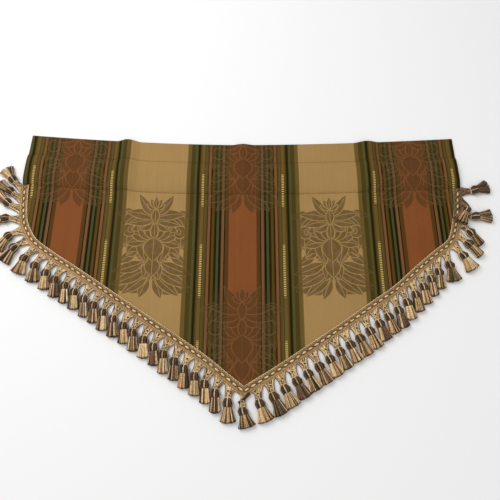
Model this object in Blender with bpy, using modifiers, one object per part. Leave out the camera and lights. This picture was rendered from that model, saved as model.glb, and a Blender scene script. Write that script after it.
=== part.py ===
"""Pointed window valance: striped cloth with a rod pocket, edged with a tassel fringe.

Metres, +Z up. The valance lies face up on the plane z = 0 with its point towards -Y.
The origin is on the underside of the cloth, on its middle line.
"""

import math
import random
from collections import namedtuple

import bmesh
import bpy
from mathutils import Vector

SEAT_GAP = 0.0003

# Cloth: its thickness, its side edges and the shallow dip of its top edge
CLOTH = 0.0015
LAYER_GAP = 0.0005
LEFT_CORNER_X = -0.539
RIGHT_CORNER_X = 0.533
LEFT_SIDE_X = -0.543
RIGHT_SIDE_X = 0.536
SIDE_WIDEST = 0.090
TOP_MIDDLE_Y = 0.302
TOP_RISE_LEFT = 0.029
TOP_RISE_RIGHT = 0.0185
TOP_RISE_POWER = 1.7

# Heading: depths below the top edge
HEADER = 0.054
POCKET = 0.087
HEM_PAST_STITCH = 0.008
STEP_DOWN = 0.018
POCKET_RISE = 0.0065
POCKET_FLATNESS = 4
POCKET_MARGIN = 0.016
POCKET_END = HEADER + POCKET
HEM_END = POCKET_END + HEM_PAST_STITCH
TURN_RADIUS = (CLOTH + LAYER_GAP) / 2

# Soft ridges left by the way the cloth was folded away
Fold = namedtuple("Fold", "x height half_width length")
FOLDS = (
    Fold(-0.290, 0.012, 0.034, 0.330),
    Fold(0.000, 0.006, 0.030, 0.280),
    Fold(0.314, 0.009, 0.034, 0.330),
)
RIDGE_COLUMNS = (-1.0, -0.5, 0.0, 0.5, 1.0)
PLAIN_COLUMNS = (-0.500, -0.440, -0.380, -0.200, -0.130, -0.070,
                 0.070, 0.130, 0.200, 0.250, 0.400, 0.460, 0.505)
HEADING_ROWS = (HEADER / 2, HEADER, HEADER + POCKET_MARGIN, HEADER + POCKET / 2,
                POCKET_END - POCKET_MARGIN, POCKET_END)
LOWER_ROWS = (0.215, 0.280, 0.345, 0.420, 0.500, 0.560)
TURN_ANGLES = (45, 90, 135, 180)
WELD = 1e-6

# The fringe's row of satin dashes, from the top of each side to the point of the V
RoutePoint = namedtuple("RoutePoint", "x y")
LEFT_ROUTE = (
    RoutePoint(-0.5345, 0.187),
    RoutePoint(-0.5329, 0.148),
    RoutePoint(-0.5289, 0.116),
    RoutePoint(-0.5225, 0.087),
    RoutePoint(-0.5090, 0.060),
    RoutePoint(-0.4895, 0.035),
    RoutePoint(-0.4390, -0.001),
    RoutePoint(-0.3850, -0.035),
    RoutePoint(-0.2835, -0.102),
    RoutePoint(-0.1805, -0.170),
    RoutePoint(-0.0870, -0.233),
    RoutePoint(-0.0395, -0.270),
    RoutePoint(0.0040, -0.3035),
)
RIGHT_ROUTE = (
    RoutePoint(0.0040, -0.3035),
    RoutePoint(0.0860, -0.254),
    RoutePoint(0.1415, -0.218),
    RoutePoint(0.2225, -0.1655),
    RoutePoint(0.3015, -0.112),
    RoutePoint(0.3530, -0.077),
    RoutePoint(0.4066, -0.031),
    RoutePoint(0.4560, 0.009),
    RoutePoint(0.4832, 0.029),
    RoutePoint(0.4970, 0.047),
    RoutePoint(0.5090, 0.082),
    RoutePoint(0.5190, 0.122),
    RoutePoint(0.5262, 0.178),
)
ROUTE_STEPS = 12
LEFT_TASSELS = 27
RIGHT_TASSELS = 26
TAPE_LEAD = 0.007

# Tape: section across it, from the cloth's side to the tassels' side
TapePoint = namedtuple("TapePoint", "across height")
TAPE_SECTION = (
    TapePoint(-0.0080, 0.0015),
    TapePoint(-0.0040, 0.0022),
    TapePoint(0.0000, 0.0031),
    TapePoint(0.0040, 0.0022),
    TapePoint(0.0110, 0.0017),
)
CLOTH_PAST_ROUTE = 0.0080
TAPE_EASE = 0.006

# Tassel: sections from its hanger's root to its cut end
TasselSection = namedtuple("TasselSection", "along half_width low high")
ROOT = TasselSection(0.000, 0.0125, 0.0020, 0.0042)
NECK = TasselSection(0.0225, 0.0062, 0.0012, 0.0095)
CROWN = TasselSection(0.031, 0.0100, 0.0000, 0.0155)
COLLAR = TasselSection(0.0385, 0.0088, 0.0003, 0.0140)
SKIRT_END = TasselSection(0.071, 0.0150, 0.0000, 0.0095)
TASSEL_SECTIONS = (ROOT, NECK, CROWN, COLLAR, SKIRT_END)
LOCKS = 5
LOCK_PARTING = 0.045
SIDE_ROUNDING = 0.40
SIDE_CLEARANCE = 0.0006
SHARP_ANGLE = math.radians(50)
LENGTH_SPREAD = 0.0015
TURN_SPREAD = 2.0
SEED = 11

# How the tassels lie: directions in degrees from +X, between rows in equal steps.
# length is a share of the usual length and lift how far a tassel is held up by the trim.
Lay = namedtuple("Lay", "number hanger skirt length lift")
LAYS = (
    Lay(1, 138, 128, 0.94, 0),
    Lay(2, 143, 144, 0.94, 0),
    Lay(3, 157, 142, 1.00, 0),
    Lay(4, 170, 190, 1.00, 0),
    Lay(5, 205, 230, 1.00, 0),
    Lay(6, 212, 234, 1.00, 0),
    Lay(7, 227, 251, 1.00, 0),
    Lay(8, 234, 267, 1.00, 0),
    Lay(9, 244, 271, 1.00, 0),
    Lay(26, 248, 271, 1.00, 0),
    Lay(27, 262, 271, 1.00, 0),
    Lay(28, 263, 286, 0.84, 0),
    Lay(29, 276, 291, 0.96, 0),
    Lay(30, 284, 297, 1.00, 0),
    Lay(32, 290, 298, 1.00, 0),
    Lay(34, 292, 298, 1.00, 0),
    Lay(40, 285, 291, 1.00, 0),
    Lay(46, 270, 275, 1.00, 0),
    Lay(47, 268, 273, 1.00, 0),
    Lay(48, 276, 282, 1.00, 0),
    Lay(49, 298, 301, 1.00, 0),
    Lay(50, 300, 309, 0.98, 0),
    Lay(51, 306, 303, 0.98, 0),
    Lay(52, 332, 364, 0.98, 0),
    Lay(53, 285, 236, 0.93, 0.0085),
    Lay(54, 360, 376, 0.93, 0),
)

# Finishes: linear colour, roughness
Finish = namedtuple("Finish", "name colour roughness")
CLOTH_FINISH = Finish("striped_cloth", (0.27, 0.16, 0.075), 0.62)
TAPE_FINISH = Finish("trim_yarn", (0.42, 0.29, 0.14), 0.60)
LIGHT_FINISH = Finish("light_yarn", (0.46, 0.30, 0.14), 0.58)
DARK_FINISH = Finish("dark_yarn", (0.085, 0.055, 0.035), 0.60)


def clear_scene():
    """Remove every object that a new file starts with."""
    for obj in list(bpy.data.objects):
        bpy.data.objects.remove(obj, do_unlink=True)


def make_material(finish):
    """A Principled material in the finish's colour."""
    material = bpy.data.materials.new(finish.name)
    material.use_nodes = True
    shader = material.node_tree.nodes["Principled BSDF"]
    shader.inputs["Base Color"].default_value = (*finish.colour, 1.0)
    shader.inputs["Roughness"].default_value = finish.roughness
    shader.inputs["Metallic"].default_value = 0.0
    return material


def add_object(name, bm, material, collection, parent, location=(0, 0, 0)):
    """Turn a finished bmesh into an object of the part."""
    mesh = bpy.data.meshes.new(name)
    bm.to_mesh(mesh)
    bm.free()
    mesh.materials.append(material)
    obj = bpy.data.objects.new(name, mesh)
    obj.location = location
    obj.parent = parent
    collection.objects.link(obj)
    return obj


def ease(t):
    """Smooth step from 0 to 1 over t from 0 to 1."""
    t = min(max(t, 0.0), 1.0)
    return t * t * (3.0 - 2.0 * t)


def top_y(x):
    """The top edge, which dips towards the middle."""
    rise, half = (TOP_RISE_LEFT, -LEFT_SIDE_X) if x < 0 else (TOP_RISE_RIGHT, RIGHT_SIDE_X)
    return TOP_MIDDLE_Y + rise * (abs(x) / half) ** TOP_RISE_POWER


def fold_lift(x, depth):
    """Height of the storage folds over the surface, at a depth below the top edge."""
    lift = 0.0
    for fold in FOLDS:
        across = (x - fold.x) / fold.half_width
        if abs(across) < 1.0:
            crown = math.cos(0.5 * math.pi * across) ** 2
            lift += fold.height * crown * (1.0 - ease(depth / fold.length))
    return lift


def face_z(x, depth):
    """Middle of the face layer: on the back layer in the heading, on the surface below."""
    over_back = 1.0 - ease((depth - HEM_END) / STEP_DOWN)
    across = abs(2.0 * (depth - HEADER) / POCKET - 1.0)
    puff = max(0.0, 1.0 - across ** POCKET_FLATNESS) * POCKET_RISE
    return CLOTH / 2 + 2 * TURN_RADIUS * over_back + puff + fold_lift(x, depth)


def back_z(x, depth):
    """Middle of the turned-over back layer, which lies flat under the open pocket."""
    leaves = ease((depth - HEADER) / POCKET_MARGIN)
    returns = ease((depth - POCKET_END + POCKET_MARGIN) / POCKET_MARGIN)
    return CLOTH / 2 + fold_lift(x, depth) * (1.0 - leaves + returns)


def spline(route):
    """Closely spaced points of a smooth curve through a route's own points."""
    points = [Vector((p.x, p.y)) for p in route]
    points = [2 * points[0] - points[1], *points, 2 * points[-1] - points[-2]]
    curve = []
    for before, start, end, after in zip(points, points[1:], points[2:], points[3:]):
        for step in range(ROUTE_STEPS):
            t = step / ROUTE_STEPS
            curve.append(0.5 * (2 * start + (end - before) * t
                                + (2 * before - 5 * start + 4 * end - after) * t ** 2
                                + (3 * start - before - 3 * end + after) * t ** 3))
    return [*curve, points[-2]]


def spaced(curve, lead_in, lead_out, count):
    """Points at equal steps along a curve, count + 1 of them, inside the leads."""
    reach = [0.0]
    for a, b in zip(curve, curve[1:]):
        reach.append(reach[-1] + (b - a).length)
    step = (reach[-1] - lead_in - lead_out) / count
    points = []
    for k in range(count + 1):
        target = lead_in + step * k
        i = next((i for i in range(1, len(reach)) if reach[i] >= target), len(reach) - 1)
        share = (target - reach[i - 1]) / (reach[i] - reach[i - 1])
        points.append(curve[i - 1].lerp(curve[i], share))
    return points


def tape_stations():
    """Places along the fringe: its two cut ends and each tassel's place between them."""
    left = spaced(spline(LEFT_ROUTE), TAPE_LEAD, 0.0, LEFT_TASSELS)
    right = spaced(spline(RIGHT_ROUTE), 0.0, TAPE_LEAD, RIGHT_TASSELS)
    ends = (Vector(LEFT_ROUTE[0]), Vector(RIGHT_ROUTE[-1]))
    return [ends[0], *left, *right[1:], ends[1]]


def outward_normals(stations):
    """Outward direction at each station, longer where the trim is mitred at the point."""
    headings = [(b - a).normalized() for a, b in zip(stations, stations[1:])]
    before = [headings[0], *headings]
    after = [*headings, headings[-1]]
    normals = []
    for first, second in zip(before, after):
        mean = (first + second).normalized()
        normals.append(Vector((mean.y, -mean.x)) / mean.dot(first))
    return normals


def cloth_outline(stations, normals):
    """The cloth's outline as x and depth below the top edge, from corner to corner."""
    edge = [(LEFT_CORNER_X, TURN_RADIUS), (LEFT_SIDE_X, SIDE_WIDEST)]
    for index in range(1, len(stations) - 1):
        if index % 2 == 0 or index == 1 or index == len(stations) - 2:
            place = stations[index] + normals[index] * CLOTH_PAST_ROUTE
            edge.append((place.x, top_y(place.x) - place.y))
    return [*edge, (RIGHT_SIDE_X, SIDE_WIDEST), (RIGHT_CORNER_X, TURN_RADIUS)]


def cut_cells(bm, columns, rows):
    """Divide the flat outline into cells along columns and rows."""
    cuts = [((x, 0, 0), (1, 0, 0)) for x in columns] + [((0, -d, 0), (0, 1, 0)) for d in rows]
    for place, normal in cuts:
        geometry = bm.verts[:] + bm.edges[:] + bm.faces[:]
        bmesh.ops.bisect_plane(bm, geom=geometry, plane_co=place, plane_no=normal)


def turn_heading(bm):
    """Carry the top edge over to the back and down past the second row of stitches."""
    around = [(TURN_RADIUS * (1.0 - math.sin(math.radians(a))), math.cos(math.radians(a)))
              for a in TURN_ANGLES]
    down = [(depth, None) for depth in (*HEADING_ROWS, HEM_END)]
    edges = [e for e in bm.edges if e.is_boundary
             and all(abs(v.co.y + TURN_RADIUS) < WELD for v in e.verts)]
    placed = []
    for depth, tilt in around + down:
        made = bmesh.ops.extrude_edge_only(bm, edges=edges)["geom"]
        edges = [g for g in made if isinstance(g, bmesh.types.BMEdge)]
        for vert in (g for g in made if isinstance(g, bmesh.types.BMVert)):
            placed.append((vert, depth, tilt))
    return placed


def build_panel(stations, normals, material, collection, parent):
    """The cloth: one sheet with its heading turned over to make the rod pocket."""
    ridges = [fold.x + side * fold.half_width for fold in FOLDS for side in RIDGE_COLUMNS]
    rows = (*HEADING_ROWS, HEM_END, HEM_END + STEP_DOWN / 2, HEM_END + STEP_DOWN, *LOWER_ROWS)
    bm = bmesh.new()
    outline = [bm.verts.new((x, -depth, 0)) for x, depth in cloth_outline(stations, normals)]
    bmesh.ops.contextual_create(bm, geom=outline)
    cut_cells(bm, sorted((*ridges, *PLAIN_COLUMNS)), rows)
    front = bm.verts[:]
    back = turn_heading(bm)
    for vert in front:
        x, depth = vert.co.x, -vert.co.y
        vert.co = (x, top_y(x) - depth, face_z(x, depth))
    for vert, depth, tilt in back:
        x = vert.co.x
        z = back_z(x, depth)
        if tilt is not None:
            z = back_z(x, TURN_RADIUS) + TURN_RADIUS * (1.0 + tilt)
        vert.co = (x, top_y(x) - depth, z)
    bmesh.ops.recalc_face_normals(bm, faces=bm.faces)
    panel = add_object("panel", bm, material, collection, parent)
    solidify = panel.modifiers.new("thickness", "SOLIDIFY")
    solidify.thickness = CLOTH
    solidify.offset = 0.0
    solidify.use_even_offset = True
    return panel


def tape_level(x, y):
    """Underside of the tape, which follows the cloth down from the hem of the pocket."""
    depth = max(top_y(x) - y - TAPE_EASE, POCKET_END)
    return face_z(x, depth) + CLOTH / 2 + SEAT_GAP


def build_trim_header(stations, normals, material, collection, parent):
    """The trim's woven tape, lying on the cloth's edge and mitred at the point."""
    lengths = len(stations) - 1
    widths = len(TAPE_SECTION) - 1
    bm = bmesh.new()
    bmesh.ops.create_grid(bm, x_segments=lengths, y_segments=widths, size=1.0)
    for vert in bm.verts:
        station = round((vert.co.x + 1) / 2 * lengths)
        point = TAPE_SECTION[round((vert.co.y + 1) / 2 * widths)]
        place = stations[station] + normals[station] * point.across
        vert.co = (place.x, place.y, tape_level(*place) + point.height)
    made = bmesh.ops.extrude_face_region(bm, geom=bm.faces[:])["geom"]
    for vert in (g for g in made if isinstance(g, bmesh.types.BMVert)):
        vert.co.z = tape_level(vert.co.x, vert.co.y)
    bmesh.ops.recalc_face_normals(bm, faces=bm.faces)
    return add_object("trim_header", bm, material, collection, parent)


def lay_of(number):
    """How one tassel lies, read between the rows of the table."""
    after = next(k for k, row in enumerate(LAYS[1:], 1) if row.number >= number)
    first, second = LAYS[after - 1], LAYS[after]
    share = (number - first.number) / (second.number - first.number)
    return Lay(*(a + (b - a) * share for a, b in zip(first, second)))


def heading_vector(degrees):
    """Unit vector in the plan at an angle from +X."""
    return Vector((math.cos(math.radians(degrees)), math.sin(math.radians(degrees))))


class TasselPlan:
    """One tassel in plan: where its hanger starts and the two directions that it takes."""

    def __init__(self, number, root, along_tape, rng):
        lay = lay_of(number)
        self.root = root
        self.along_tape = along_tape
        self.hanger = heading_vector(lay.hanger + rng.uniform(-TURN_SPREAD, TURN_SPREAD))
        self.skirt = heading_vector(lay.skirt + rng.uniform(-TURN_SPREAD, TURN_SPREAD))
        self.lift = lay.lift
        self.stretch = lay.length + rng.uniform(-LENGTH_SPREAD, LENGTH_SPREAD) / SKIRT_END.along
        self.crown_room = CROWN.half_width
        self.end_room = SKIRT_END.half_width

    def centre(self, along):
        """Point of the tassel's middle line at a distance from its root."""
        if along <= NECK.along:
            return self.root + self.hanger * along * self.stretch
        below = self.skirt * (along - NECK.along)
        return self.root + (self.hanger * NECK.along + below) * self.stretch

    def side(self, along):
        """Direction across the tassel: along the tape at its root, square to it below."""
        share = ease(along / NECK.along)
        mean = (self.hanger + self.skirt).normalized() if along < CROWN.along else self.skirt
        across = Vector((mean.y, -mean.x))
        return (self.along_tape * (1 - share) + across * share).normalized()

    def clearance(self, along, other):
        """Half the distance from this tassel's middle to its neighbour's middle line."""
        place = self.centre(along)
        start = other.centre(NECK.along)
        offset = place - start
        ahead = max(0.0, offset.dot(other.skirt))
        return (offset - other.skirt * ahead).length / 2 - SIDE_CLEARANCE

    def make_room(self, other):
        """Narrow the head and the skirt to what a neighbour at the same level leaves."""
        if self.lift or other.lift:
            return
        self.crown_room = min(self.crown_room, self.clearance(CROWN.along, other))
        self.end_room = min(self.end_room, self.clearance(SKIRT_END.along, other))

    def section(self, along):
        """Half width, lowest and highest level of the tassel at a distance from its root."""
        collar = COLLAR.half_width * self.crown_room / CROWN.half_width
        widths = (ROOT.half_width, NECK.half_width, self.crown_room, collar, self.end_room)
        for k in range(len(TASSEL_SECTIONS) - 1):
            first, second = TASSEL_SECTIONS[k], TASSEL_SECTIONS[k + 1]
            if along <= second.along + 1e-9:
                break
        share = (along - first.along) / (second.along - first.along)
        width = widths[k] + (widths[k + 1] - widths[k]) * share
        low = first.low + (second.low - first.low) * share
        high = first.high + (second.high - first.high) * share
        held_up = self.lift * ease(along / NECK.along)
        return width, low + held_up, high + held_up


def tassel_template():
    """A straight tassel: x runs across it, z from -1 to 1 up it and y along it."""
    bm = bmesh.new()
    bmesh.ops.create_grid(bm, x_segments=LOCKS, y_segments=1, size=1.0)
    for vert in bm.verts:
        vert.co = (vert.co.x, COLLAR.along, vert.co.y)
    collar_faces = bm.faces[:]
    edges = [e for e in bm.edges if e.is_boundary]
    for section in (CROWN, NECK, ROOT):
        made = bmesh.ops.extrude_edge_only(bm, edges=edges)["geom"]
        edges = [g for g in made if isinstance(g, bmesh.types.BMEdge)]
        for vert in (g for g in made if isinstance(g, bmesh.types.BMVert)):
            vert.co.y = section.along
    bmesh.ops.contextual_create(bm, geom=edges)
    bmesh.ops.inset_individual(bm, faces=collar_faces, thickness=LOCK_PARTING)
    for face in bmesh.ops.extrude_discrete_faces(bm, faces=collar_faces)["faces"]:
        for vert in face.verts:
            vert.co.y = SKIRT_END.along
    bmesh.ops.recalc_face_normals(bm, faces=bm.faces)
    return bm


def build_tassel(name, plan, template, material, collection, parent, rng):
    """One tassel: a netted hanger, a wrapped head and a skirt parted into locks."""
    bm = template.copy()
    cut = [rng.uniform(-LENGTH_SPREAD, LENGTH_SPREAD) for _ in range(LOCKS)]
    for vert in bm.verts:
        across, along, up = vert.co.x, vert.co.y, vert.co.z
        width, low, high = plan.section(along)
        lock = min(int((across + 1) / 2 * LOCKS), LOCKS - 1)
        trim = cut[lock] if along == SKIRT_END.along else 0.0
        place = plan.centre(along) + plan.skirt * trim + plan.side(along) * across * width
        round_up = up * (1.0 - SIDE_ROUNDING * across ** 2)
        z = (low + high) / 2 + round_up * (high - low) / 2
        vert.co = (place.x - plan.root.x, place.y - plan.root.y, z)
    for face in bm.faces:
        face.smooth = True
    for edge in bm.edges:
        edge.smooth = edge.calc_face_angle(0.0) < SHARP_ANGLE
    return add_object(name, bm, material, collection, parent, (plan.root.x, plan.root.y, 0))


def build_fringe(stations, normals, collection, parent):
    """All the tassels, numbered from the left side's top round the point."""
    rng = random.Random(SEED)
    light, dark = make_material(LIGHT_FINISH), make_material(DARK_FINISH)
    plans = []
    for number in range(1, len(stations) - 1):
        along_tape = Vector((normals[number].y, -normals[number].x)).normalized()
        root = stations[number] + normals[number] * (TAPE_SECTION[-1].across + SEAT_GAP)
        plans.append(TasselPlan(number, root, along_tape, rng))
    for first, second in zip(plans, plans[1:]):
        first.make_room(second)
        second.make_room(first)
    template = tassel_template()
    for number, plan in enumerate(plans, 1):
        material = light if number % 2 else dark
        build_tassel(f"tassel_{number:02d}", plan, template, material, collection, parent, rng)
    template.free()


def main():
    """Build the valance's pieces in the order in which they are made up."""
    clear_scene()
    collection = bpy.data.collections.new("window_valance")
    bpy.context.scene.collection.children.link(collection)
    origin = bpy.data.objects.new("valance_origin", None)
    collection.objects.link(origin)
    stations = tape_stations()
    normals = outward_normals(stations)
    build_panel(stations, normals, make_material(CLOTH_FINISH), collection, origin)
    build_trim_header(stations, normals, make_material(TAPE_FINISH), collection, origin)
    build_fringe(stations, normals, collection, origin)


main()
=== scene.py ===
"""Looks of a pointed window valance: striped jacquard cloth, a gimp tape and yarn tassels."""

import logging
import math
import random
from bisect import bisect_left
from dataclasses import astuple, dataclass
from enum import Enum
from itertools import accumulate
from typing import Any, Callable, Iterable, Sequence

import bmesh
import bpy
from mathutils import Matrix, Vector


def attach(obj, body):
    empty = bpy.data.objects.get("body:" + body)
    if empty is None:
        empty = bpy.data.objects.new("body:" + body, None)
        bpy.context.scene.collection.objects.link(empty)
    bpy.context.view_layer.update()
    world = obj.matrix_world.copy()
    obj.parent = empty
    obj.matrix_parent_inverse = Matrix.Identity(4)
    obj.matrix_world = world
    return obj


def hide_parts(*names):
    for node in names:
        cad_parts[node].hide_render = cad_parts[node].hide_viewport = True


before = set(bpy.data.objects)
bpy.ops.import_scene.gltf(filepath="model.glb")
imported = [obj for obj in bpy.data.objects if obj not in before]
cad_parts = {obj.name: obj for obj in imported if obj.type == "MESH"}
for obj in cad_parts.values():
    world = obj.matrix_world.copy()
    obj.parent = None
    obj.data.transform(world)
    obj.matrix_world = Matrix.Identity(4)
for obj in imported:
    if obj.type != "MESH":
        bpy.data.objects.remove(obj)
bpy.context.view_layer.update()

LOG = logging.getLogger("window_valance")
BODY = "root"
TINY = 1e-6
Colour = tuple[float, float, float]


def srgb(red: float, green: float, blue: float) -> Colour:
    """Linear colour of a screen colour given in 0 to 255."""
    parts = (red / 255, green / 255, blue / 255)
    return tuple(p / 12.92 if p < 0.04045 else ((p + 0.055) / 1.055) ** 2.4 for p in parts)


def ease(t: float) -> float:
    """Smooth step from 0 to 1 over t from 0 to 1."""
    t = min(max(t, 0.0), 1.0)
    return t * t * (3.0 - 2.0 * t)


def bulged(share: float, power: float) -> float:
    """A share from -1 to 1 raised to a power, with its sign kept."""
    return math.copysign(abs(share) ** power, share)


def heading(degrees: float) -> Vector:
    """Unit vector in the plan at an angle from +X."""
    return Vector((math.cos(math.radians(degrees)), math.sin(math.radians(degrees))))


def right_of(way: Vector) -> Vector:
    """Direction a quarter turn to the right of another in the plan."""
    return Vector((way.y, -way.x))


def shares(count: int) -> list[float]:
    """Shares from 0 to 1 at equal steps, count + 1 of them."""
    return [k / count for k in range(count + 1)]


def turns(count: int, shift: float = 0.0) -> list[float]:
    """Angles in radians at equal steps round a full turn."""
    return [math.tau * (k + shift) / count for k in range(count)]


# Shader maths


def operator(operation: str, meaning: str) -> Callable[["Val", Any], "Val"]:
    """A method of Val that adds one Math node with two inputs."""
    def method(self: "Val", other: Any) -> "Val":
        return self.math(operation, other)
    method.__doc__ = meaning
    return method


class Val:
    """A shader value that takes part in ordinary expressions."""

    __add__ = __radd__ = operator("ADD", "Sum.")
    __mul__ = operator("MULTIPLY", "Product.")
    __sub__ = operator("SUBTRACT", "Difference.")
    high = operator("MAXIMUM", "The larger of two values.")
    low = operator("MINIMUM", "The smaller of two values.")
    above = operator("GREATER_THAN", "1 where this value is larger than the other.")

    def __init__(self, book: "NodeBook", socket: Any) -> None:
        """Wrap an output socket of the book's node tree."""
        self.book = book
        self.socket = socket

    def math(self, operation: str, *others: Any) -> "Val":
        """Math node on this value and others.

        Args:
            operation: the Math node's operation.
            others: further values, as Val or numbers.

        Returns:
            The node's result.
        """
        values = dict(enumerate((self, *others)))
        return self.book.out("ShaderNodeMath", values, operation=operation)

    def __rsub__(self, other: Any) -> "Val":
        """Reflected difference."""
        return self * -1.0 + other

    def __truediv__(self, other: float) -> "Val":
        """Quotient by a number."""
        return self * (1.0 / other)

    def __abs__(self) -> "Val":
        """Size without sign."""
        return self.math("ABSOLUTE")

    def wave(self) -> "Val":
        """Sine of a value counted in whole turns."""
        return (self * math.tau).math("SINE")

    def nearest(self, pitch: float) -> "Val":
        """Signed distance to the nearest multiple of a pitch."""
        return self - (self / pitch).math("ROUND") * pitch

    def soft(self, start: float, end: float) -> "Val":
        """0 before the start and 1 past the end, with a smooth step between them."""
        values = {"Value": self, "From Min": start, "From Max": end}
        return self.book.out("ShaderNodeMapRange", values, interpolation_type="SMOOTHSTEP")


class NodeBook:
    """Adds the nodes of one material."""

    def __init__(self, name: str) -> None:
        """Start a material that holds a Principled shader alone."""
        self.material = bpy.data.materials.new(name)
        self.material.use_nodes = True
        self.tree = self.material.node_tree
        self.shader = self.tree.nodes["Principled BSDF"]

    def node(self, kind: str, values: dict[Any, Any], **settings: Any) -> Any:
        """Add a node of any type.

        Args:
            kind: the node's type.
            values: numbers, colours or Val for its input sockets, by name or place.
            settings: its properties, and stops for a colour ramp.

        Returns:
            The new node.
        """
        node = self.tree.nodes.new(kind)
        for key, value in settings.items():
            if key == "stops":
                self._set_stops(node.color_ramp, value)
            else:
                setattr(node, key, value)
        for key, value in values.items():
            self.feed(node.inputs[key], value)
        return node

    def out(self, kind: str, values: dict[Any, Any], place: Any = 0, **settings: Any) -> Val:
        """Add a node and take the output at one place or of one name."""
        return Val(self, self.node(kind, values, **settings).outputs[place])

    @staticmethod
    def _set_stops(ramp: Any, stops: Sequence[tuple[float, Colour]]) -> None:
        """Give a ramp flat bands of colour, each from its stop onwards."""
        ramp.interpolation = "CONSTANT"
        ramp.elements.remove(ramp.elements[1])
        ramp.elements[0].position = stops[0][0]
        ramp.elements[0].color = (*stops[0][1], 1.0)
        for place, colour in stops[1:]:
            ramp.elements.new(place).color = (*colour, 1.0)

    def feed(self, socket: Any, value: Any) -> None:
        """Link a Val to a socket, or set the socket to a number or colour."""
        if isinstance(value, Val):
            self.tree.links.new(value.socket, socket)
        elif isinstance(value, tuple) and len(value) == 3 and socket.type == "RGBA":
            socket.default_value = (*value, 1.0)
        else:
            socket.default_value = value

    def mix(self, share: Any, first: Any, second: Any) -> Val:
        """Blend two colours: the first where the share is 0, the second where it is 1."""
        return self.out("ShaderNodeMix", {0: share, 6: first, 7: second}, 2, data_type="RGBA")

    def shade(self, colour: Any, strength: Any) -> Val:
        """Multiply a colour by a grey value."""
        return self.out("ShaderNodeVectorMath", {0: colour, 3: strength}, operation="SCALE")

    def place(self) -> Val:
        """Object coordinates."""
        return self.out("ShaderNodeTexCoord", {}, "Object")

    def uv(self) -> tuple[Val, Val]:
        """The two parts of the piece's own UV map."""
        parts = self.node("ShaderNodeSeparateXYZ", {0: self.out("ShaderNodeTexCoord", {}, "UV")})
        return Val(self, parts.outputs[0]), Val(self, parts.outputs[1])

    def point(self, x: Any, y: Any, z: Any = 0.0) -> Val:
        """Vector made of three values."""
        return self.out("ShaderNodeCombineXYZ", {0: x, 1: y, 2: z})

    def noise(self, vector: Val, scale: float, detail: float = 2.0) -> Val:
        """Smooth noise around 0.5."""
        return self.out("ShaderNodeTexNoise", {"Vector": vector, "Scale": scale, "Detail": detail})

    def dress(self, colour: Any, roughness: Any, height: Val, depth: float) -> None:
        """Feed the shader's colour and roughness, and its normal from a height in 0 to 1."""
        self.feed(self.shader.inputs["Base Color"], colour)
        self.feed(self.shader.inputs["Roughness"], roughness)
        bump = self.out("ShaderNodeBump", {"Strength": 1.0, "Distance": depth, "Height": height})
        self.feed(self.shader.inputs["Normal"], bump)

    def set(self, **values: float) -> None:
        """Set constants on the shader's own sockets."""
        for name, value in values.items():
            self.shader.inputs[name.replace("_", " ")].default_value = value


# Finishes


class YarnRole(Enum):
    """A kind of yarn, by its colour or its use."""

    GOLD = "gold_yarn"
    PALE = "pale_yarn"
    COPPER = "copper_yarn"
    OLIVE = "olive_yarn"
    MAUVE = "mauve_yarn"
    BROWN = "brown_yarn"
    DARK = "dark_brown_yarn"
    NET = "net_yarn"
    TIE = "cream_tie"


GOLD, PALE, COPPER, OLIVE, MAUVE, BROWN, DARK, NET, TIE = YarnRole


@dataclass(frozen=True)
class YarnFinish:
    """Shiny rayon yarn of two mingled colours."""

    name: str
    main: Colour
    glint: Colour
    roughness: float = 0.42
    spot_scale: float = 420.0
    patch_scale: float = 90.0
    twists: float = 20.0
    depth: float = 0.00015

    def make(self) -> bpy.types.Material:
        """The material, with a twist along each strand and a darker cut end."""
        book = NodeBook(self.name)
        along, around = book.uv()
        spots = book.noise(book.place(), self.spot_scale, 1.0)
        patches = book.noise(book.place(), self.patch_scale, 1.0)
        # painted highlight: the lighter glint colour mixed in at random spots
        colour = book.mix(spots.soft(0.42, 0.66), self.main, self.glint)
        colour = book.shade(colour, patches * 0.7 + 0.65)
        # lighter near each strand's start, and darker at its cut end with painted shade between
        # the cut yarn ends
        start, cut_end_shade = along.soft(0.0, 0.35), along.soft(0.91, 0.97)
        colour = book.shade(colour, 1.2 - start * 0.2 - cut_end_shade * 0.7)
        twist = (along * self.twists + around).wave() * 0.5 + 0.5
        book.dress(colour, spots * 0.2 + (self.roughness - 0.1), twist, self.depth)
        book.set(Sheen_Weight=0.05, Sheen_Roughness=0.4, Specular_IOR_Level=0.4)
        return book.material


@dataclass(frozen=True)
class WovenTapeFinish:
    """Fine tan weave of the tape, on a map of metres along and across it."""

    name: str
    main: Colour
    # colour of the painted shade in the gaps between the threads
    dark: Colour
    rib_pitch: float = 0.0021
    thread_pitch: float = 0.0019
    sway_pitch: float = 0.0042
    patch_scale: float = 230.0
    depth: float = 0.0005

    def make(self) -> bpy.types.Material:
        """The material, with ribs across the tape and darker gaps between its threads."""
        book = NodeBook(self.name)
        along, across = book.uv()
        sway = (across / self.sway_pitch).wave() * 0.25
        ribs = (along / self.rib_pitch + sway).wave() * 0.5 + 0.5
        threads = (across / self.thread_pitch).wave() * 0.5 + 0.5
        weave = ribs.low(threads * 0.6 + 0.4)
        patches = book.noise(book.point(along, across), self.patch_scale)
        # painted shade: the dark colour where the weave dips between its threads
        colour = book.mix(weave.soft(0.05, 0.6), self.dark, self.main)
        colour = book.shade(colour, patches.soft(0.3, 0.7) * 0.8 + 0.6)
        book.dress(colour, 0.6, weave, self.depth)
        book.set(Specular_IOR_Level=0.15)
        return book.material


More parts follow.
